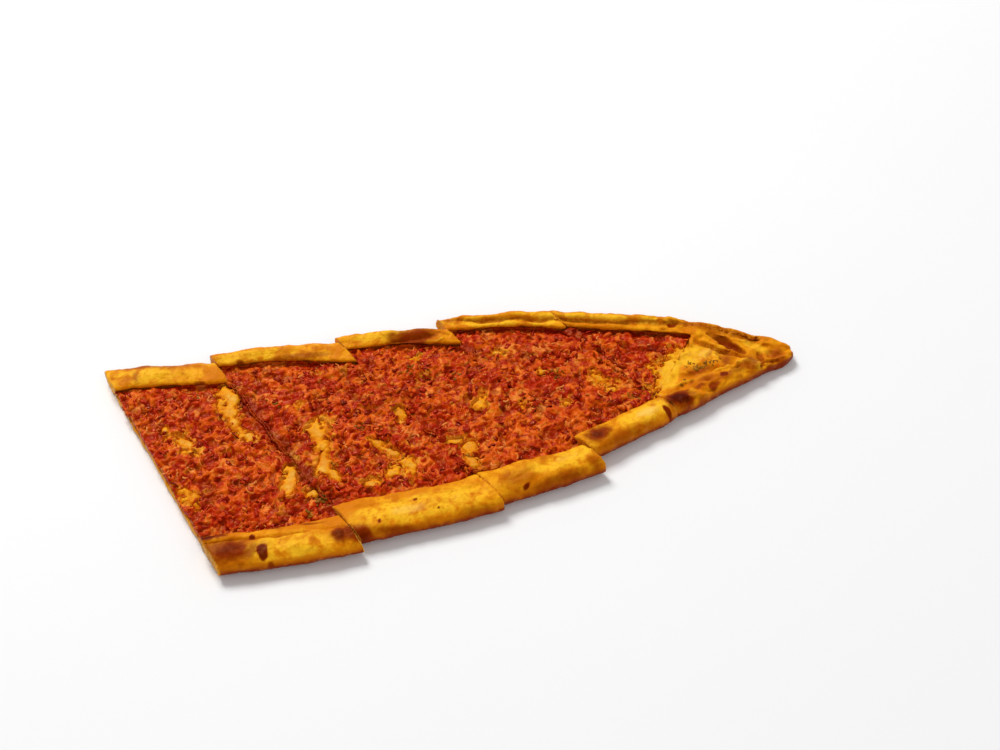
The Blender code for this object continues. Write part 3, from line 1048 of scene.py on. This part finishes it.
def scatter(name, shapes, count, sizes, seed, places=None, on_dough=0.0, sink=0.5, lie=0.3):
    """Drops bits of one kind over the filling and joins them into one mesh."""
    draw = np.random.default_rng(seed)
    trees = surface_trees()
    points = drop_points(draw, count * 5, places)
    region = smoothstep(0.3, 0.7, noise(points, 0.01, seed))
    thinness = smoothstep(-0.9, 0.5, bareness(points))
    corners, faces, tones, thin = [], [], [], []
    first = 0
    for drop, redness, bare in zip(points, region, thinness):
        if len(corners) == count:
            break
        found = landing(trees, drop[0], drop[1])
        if found is None or found[1].z < LOWEST_REST:
            continue
        surface, point, normal = found
        # A bit clings to a bare patch more than to the folds and the tip.
        stays = max(on_dough, CLINGING) if bare > 0.3 and drop[0] < TIP_FROM else on_dough
        if surface.startswith("dough") and (point.z > FOLD_FLANK or draw.random() > stays):
            continue
        base, base_faces = shapes[draw.integers(len(shapes))]
        size = draw.uniform(*sizes)
        stretch = size * draw.uniform(0.75, 1.25, 3)
        level = normal.lerp(Vector((0, 0, 1)), 0.5).normalized()
        upright = Vector((0, 0, 1)).rotation_difference(level).to_matrix()
        lean = Euler((draw.normal(0, lie), draw.normal(0, lie), draw.uniform(0, math.tau))).to_matrix()
        shape = (base * stretch) @ np.array(upright @ lean).T
        lift = (0.5 - sink) * (shape[:, 2].max() - shape[:, 2].min())
        corners.append(shape + np.array(point) + (0, 0, lift))
        faces += [tuple(index + first for index in face) for face in base_faces]
        first += len(base)
        tones.append(np.full(len(base), 0.5 * redness + 0.5 * draw.random()))
        thin.append(np.full(len(base), 0.75 * bare))
    mesh = bpy.data.meshes.new(name)
    mesh.from_pydata(np.concatenate(corners).tolist(), [], faces)
    mesh.shade_smooth()
    write_vertices(mesh, np.concatenate(corners))
    write_attributes(mesh, tone=np.concatenate(tones), thin=np.concatenate(thin))
    return new_object(name, mesh)


class PIDE_OT_dough(Operator):
    """Bake the dough of every slice"""

    bl_idname = "pide.dough"
    bl_label = "Bake dough"

    def execute(self, context):
        settings = context.scene.pide_dough
        material = baked_dough(settings)
        for number in SLICES:
            bake_slice(number, settings, material)
        return {"FINISHED"}


class PIDE_OT_filling(Operator):
    """Lay the fried mince of every slice"""

    bl_idname = "pide.filling"
    bl_label = "Lay filling"

    def execute(self, context):
        settings = context.scene.pide_filling
        material = oily_mince(settings)
        planes = knife_cuts()
        for number in SLICES:
            fill_slice(number, settings, material, planes)
        return {"FINISHED"}


class PIDE_OT_meat_crumbs(Operator):
    """Drop loose crumbs of mince over the filling"""

    bl_idname = "pide.meat_crumbs"
    bl_label = "Drop meat crumbs"

    def execute(self, context):
        settings = context.scene.pide_filling
        shapes = [lump_shape(seed, (1.0, 0.5 + 0.07 * (seed % 5), 0.4)) for seed in range(10)]
        obj = scatter("meat_crumbs", shapes, settings.meat_count, MEAT_SIZES, 3, sink=0.56)
        finish_piece(obj, fried_crumbs(settings))
        return {"FINISHED"}


class PIDE_OT_pepper_bits(Operator):
    """Drop curled bits of red pepper and tomato skin"""

    bl_idname = "pide.pepper_bits"
    bl_label = "Drop pepper bits"

    def execute(self, context):
        settings = context.scene.pide_filling
        shapes = [chip_shape(seed, 0.3 + 0.1 * seed, 0.09, 0.14) for seed in range(6)]
        obj = scatter("pepper_bits", shapes, settings.red_count, PEPPER_SIZES, 7, lie=0.45)
        finish = bit_finish("pepper_skin", settings.dark_and_shade, settings.pepper, (0.55, 0.035, 0.004), 0.2)
        finish_piece(obj, finish)
        return {"FINISHED"}


class PIDE_OT_onion_strands(Operator):
    """Drop curled strands of cooked onion"""

    bl_idname = "pide.onion_strands"
    bl_label = "Drop onion strands"

    def execute(self, context):
        settings = context.scene.pide_filling
        shapes = [strand_shape(1.1 + 0.45 * step, 0.075 + 0.015 * step) for step in range(5)]
        obj = scatter("onion_strands", shapes, settings.onion_count, ONION_SIZES, 13, lie=0.35)
        finish = bit_finish("cooked_onion", settings.orange, (0.76, 0.2, 0.024), (0.88, 0.32, 0.07), 0.24)
        finish_piece(obj, finish)
        return {"FINISHED"}


class PIDE_OT_herbs(Operator):
    """Drop flecks of parsley and green pepper, and dry specks on the bare tip"""

    bl_idname = "pide.herbs"
    bl_label = "Drop herbs"

    def execute(self, context):
        settings = context.scene.pide_filling
        green, dry = settings.green_count, settings.herb_count
        leaves = [chip_shape(40 + seed, 0.25, 0.12, 0.1) for seed in range(4)]
        flecks = scatter("green_flecks", leaves, green, GREEN_SIZES, 17, GREEN_PLACES, on_dough=0.5)
        finish = bit_finish("cooked_herbs", (0.14, 0.05, 0.002), settings.green, settings.olive, 0.35)
        finish_piece(flecks, finish)
        specks = scatter("herb_specks", leaves, dry, HERB_SIZES, 23, HERB_PLACES, on_dough=1.0, sink=0.6)
        finish = bit_finish("dry_herbs", (0.16, 0.062, 0.003), (0.28, 0.12, 0.005), (0.42, 0.19, 0.007), 0.45)
        finish_piece(specks, finish)
        return {"FINISHED"}


class PIDE_OT_stage(Operator):
    """Set up the floor, the lights and the camera"""

    bl_idname = "pide.stage"
    bl_label = "Set the stage"

    def execute(self, context):
        settings = context.scene.pide_stage
        scene = context.scene
        deselect_all()
        bpy.ops.mesh.primitive_plane_add(size=FLOOR_SIZE, location=(0.0, 0.0, FLOOR_HEIGHT))
        floor = bpy.context.object
        floor.name = "floor"
        bpy.ops.object.transform_apply(location=True, rotation=True, scale=True)
        shader = Shader("pale_floor")
        grain = shader.noise(0.25, detail=2.0)
        colour = shader.mix(grain, (0.9, 0.9, 0.9), (0.92, 0.92, 0.92))
        floor.data.materials.append(shader.finish(Base_Color=colour, Roughness=0.8))
        world = bpy.data.worlds.new("studio")
        world.use_nodes = True
        background = world.node_tree.nodes["Background"]
        background.inputs["Color"].default_value = (1.0, 1.0, 1.0, 1.0)
        background.inputs["Strength"].default_value = settings.sky
        scene.world = world
        for name, place, size in LIGHTS:
            self.light(name, getattr(settings, name), place, size)
        camera = new_object("camera", bpy.data.cameras.new("camera"))
        sight = Vector(settings.looks_at) - Vector(settings.camera_at)
        camera.location = settings.camera_at
        camera.rotation_mode = "QUATERNION"
        camera.rotation_quaternion = sight.to_track_quat("-Z", "Y") @ Quaternion((0, 0, 1), settings.roll)
        camera.data.lens = settings.lens
        camera.data.sensor_width = SENSOR_WIDTH
        camera.data.clip_start = 0.01
        scene.camera = camera
        scene.view_settings.view_transform = "Standard"
        return {"FINISHED"}

    def light(self, name, power, place, size):
        """Hangs a square soft light that faces the bread."""
        lamp = bpy.data.lights.new(name, "AREA")
        lamp.energy = power
        lamp.size = size
        obj = new_object(name, lamp)
        obj.location = place
        obj.rotation_euler = (-Vector(place)).to_track_quat("-Z", "Y").to_euler()


class PIDE_PT_panel(Panel):
    """Settings and steps of the pide"""

    bl_label = "Pide"
    bl_space_type = "VIEW_3D"
    bl_region_type = "UI"
    bl_category = "Pide"

    def draw(self, context):
        for group in (context.scene.pide_dough, context.scene.pide_filling, context.scene.pide_stage):
            box = self.layout.box()
            for key in group.__annotations__:
                box.prop(group, key)
        for operator in OPERATORS:
            self.layout.operator(operator.bl_idname)


OPERATORS = (
    PIDE_OT_dough,
    PIDE_OT_filling,
    PIDE_OT_meat_crumbs,
    PIDE_OT_pepper_bits,
    PIDE_OT_onion_strands,
    PIDE_OT_herbs,
    PIDE_OT_stage,
)
GROUPS = (
    ("pide_dough", PideDoughSettings),
    ("pide_filling", PideFillingSettings),
    ("pide_stage", PideStageSettings),
)


def register():
    for name, group in GROUPS:
        bpy.utils.register_class(group)
        setattr(bpy.types.Scene, name, PointerProperty(type=group))
    for operator in OPERATORS:
        bpy.utils.register_class(operator)
    bpy.utils.register_class(PIDE_PT_panel)


def unregister():
    bpy.utils.unregister_class(PIDE_PT_panel)
    for operator in reversed(OPERATORS):
        bpy.utils.unregister_class(operator)
    for name, group in reversed(GROUPS):
        delattr(bpy.types.Scene, name)
        bpy.utils.unregister_class(group)


def main():
    register()
    bpy.ops.pide.dough()
    bpy.ops.pide.filling()
    bpy.ops.pide.meat_crumbs()
    bpy.ops.pide.pepper_bits()
    bpy.ops.pide.onion_strands()
    bpy.ops.pide.herbs()
    bpy.ops.pide.stage()


if __name__ == "__main__":
    main()
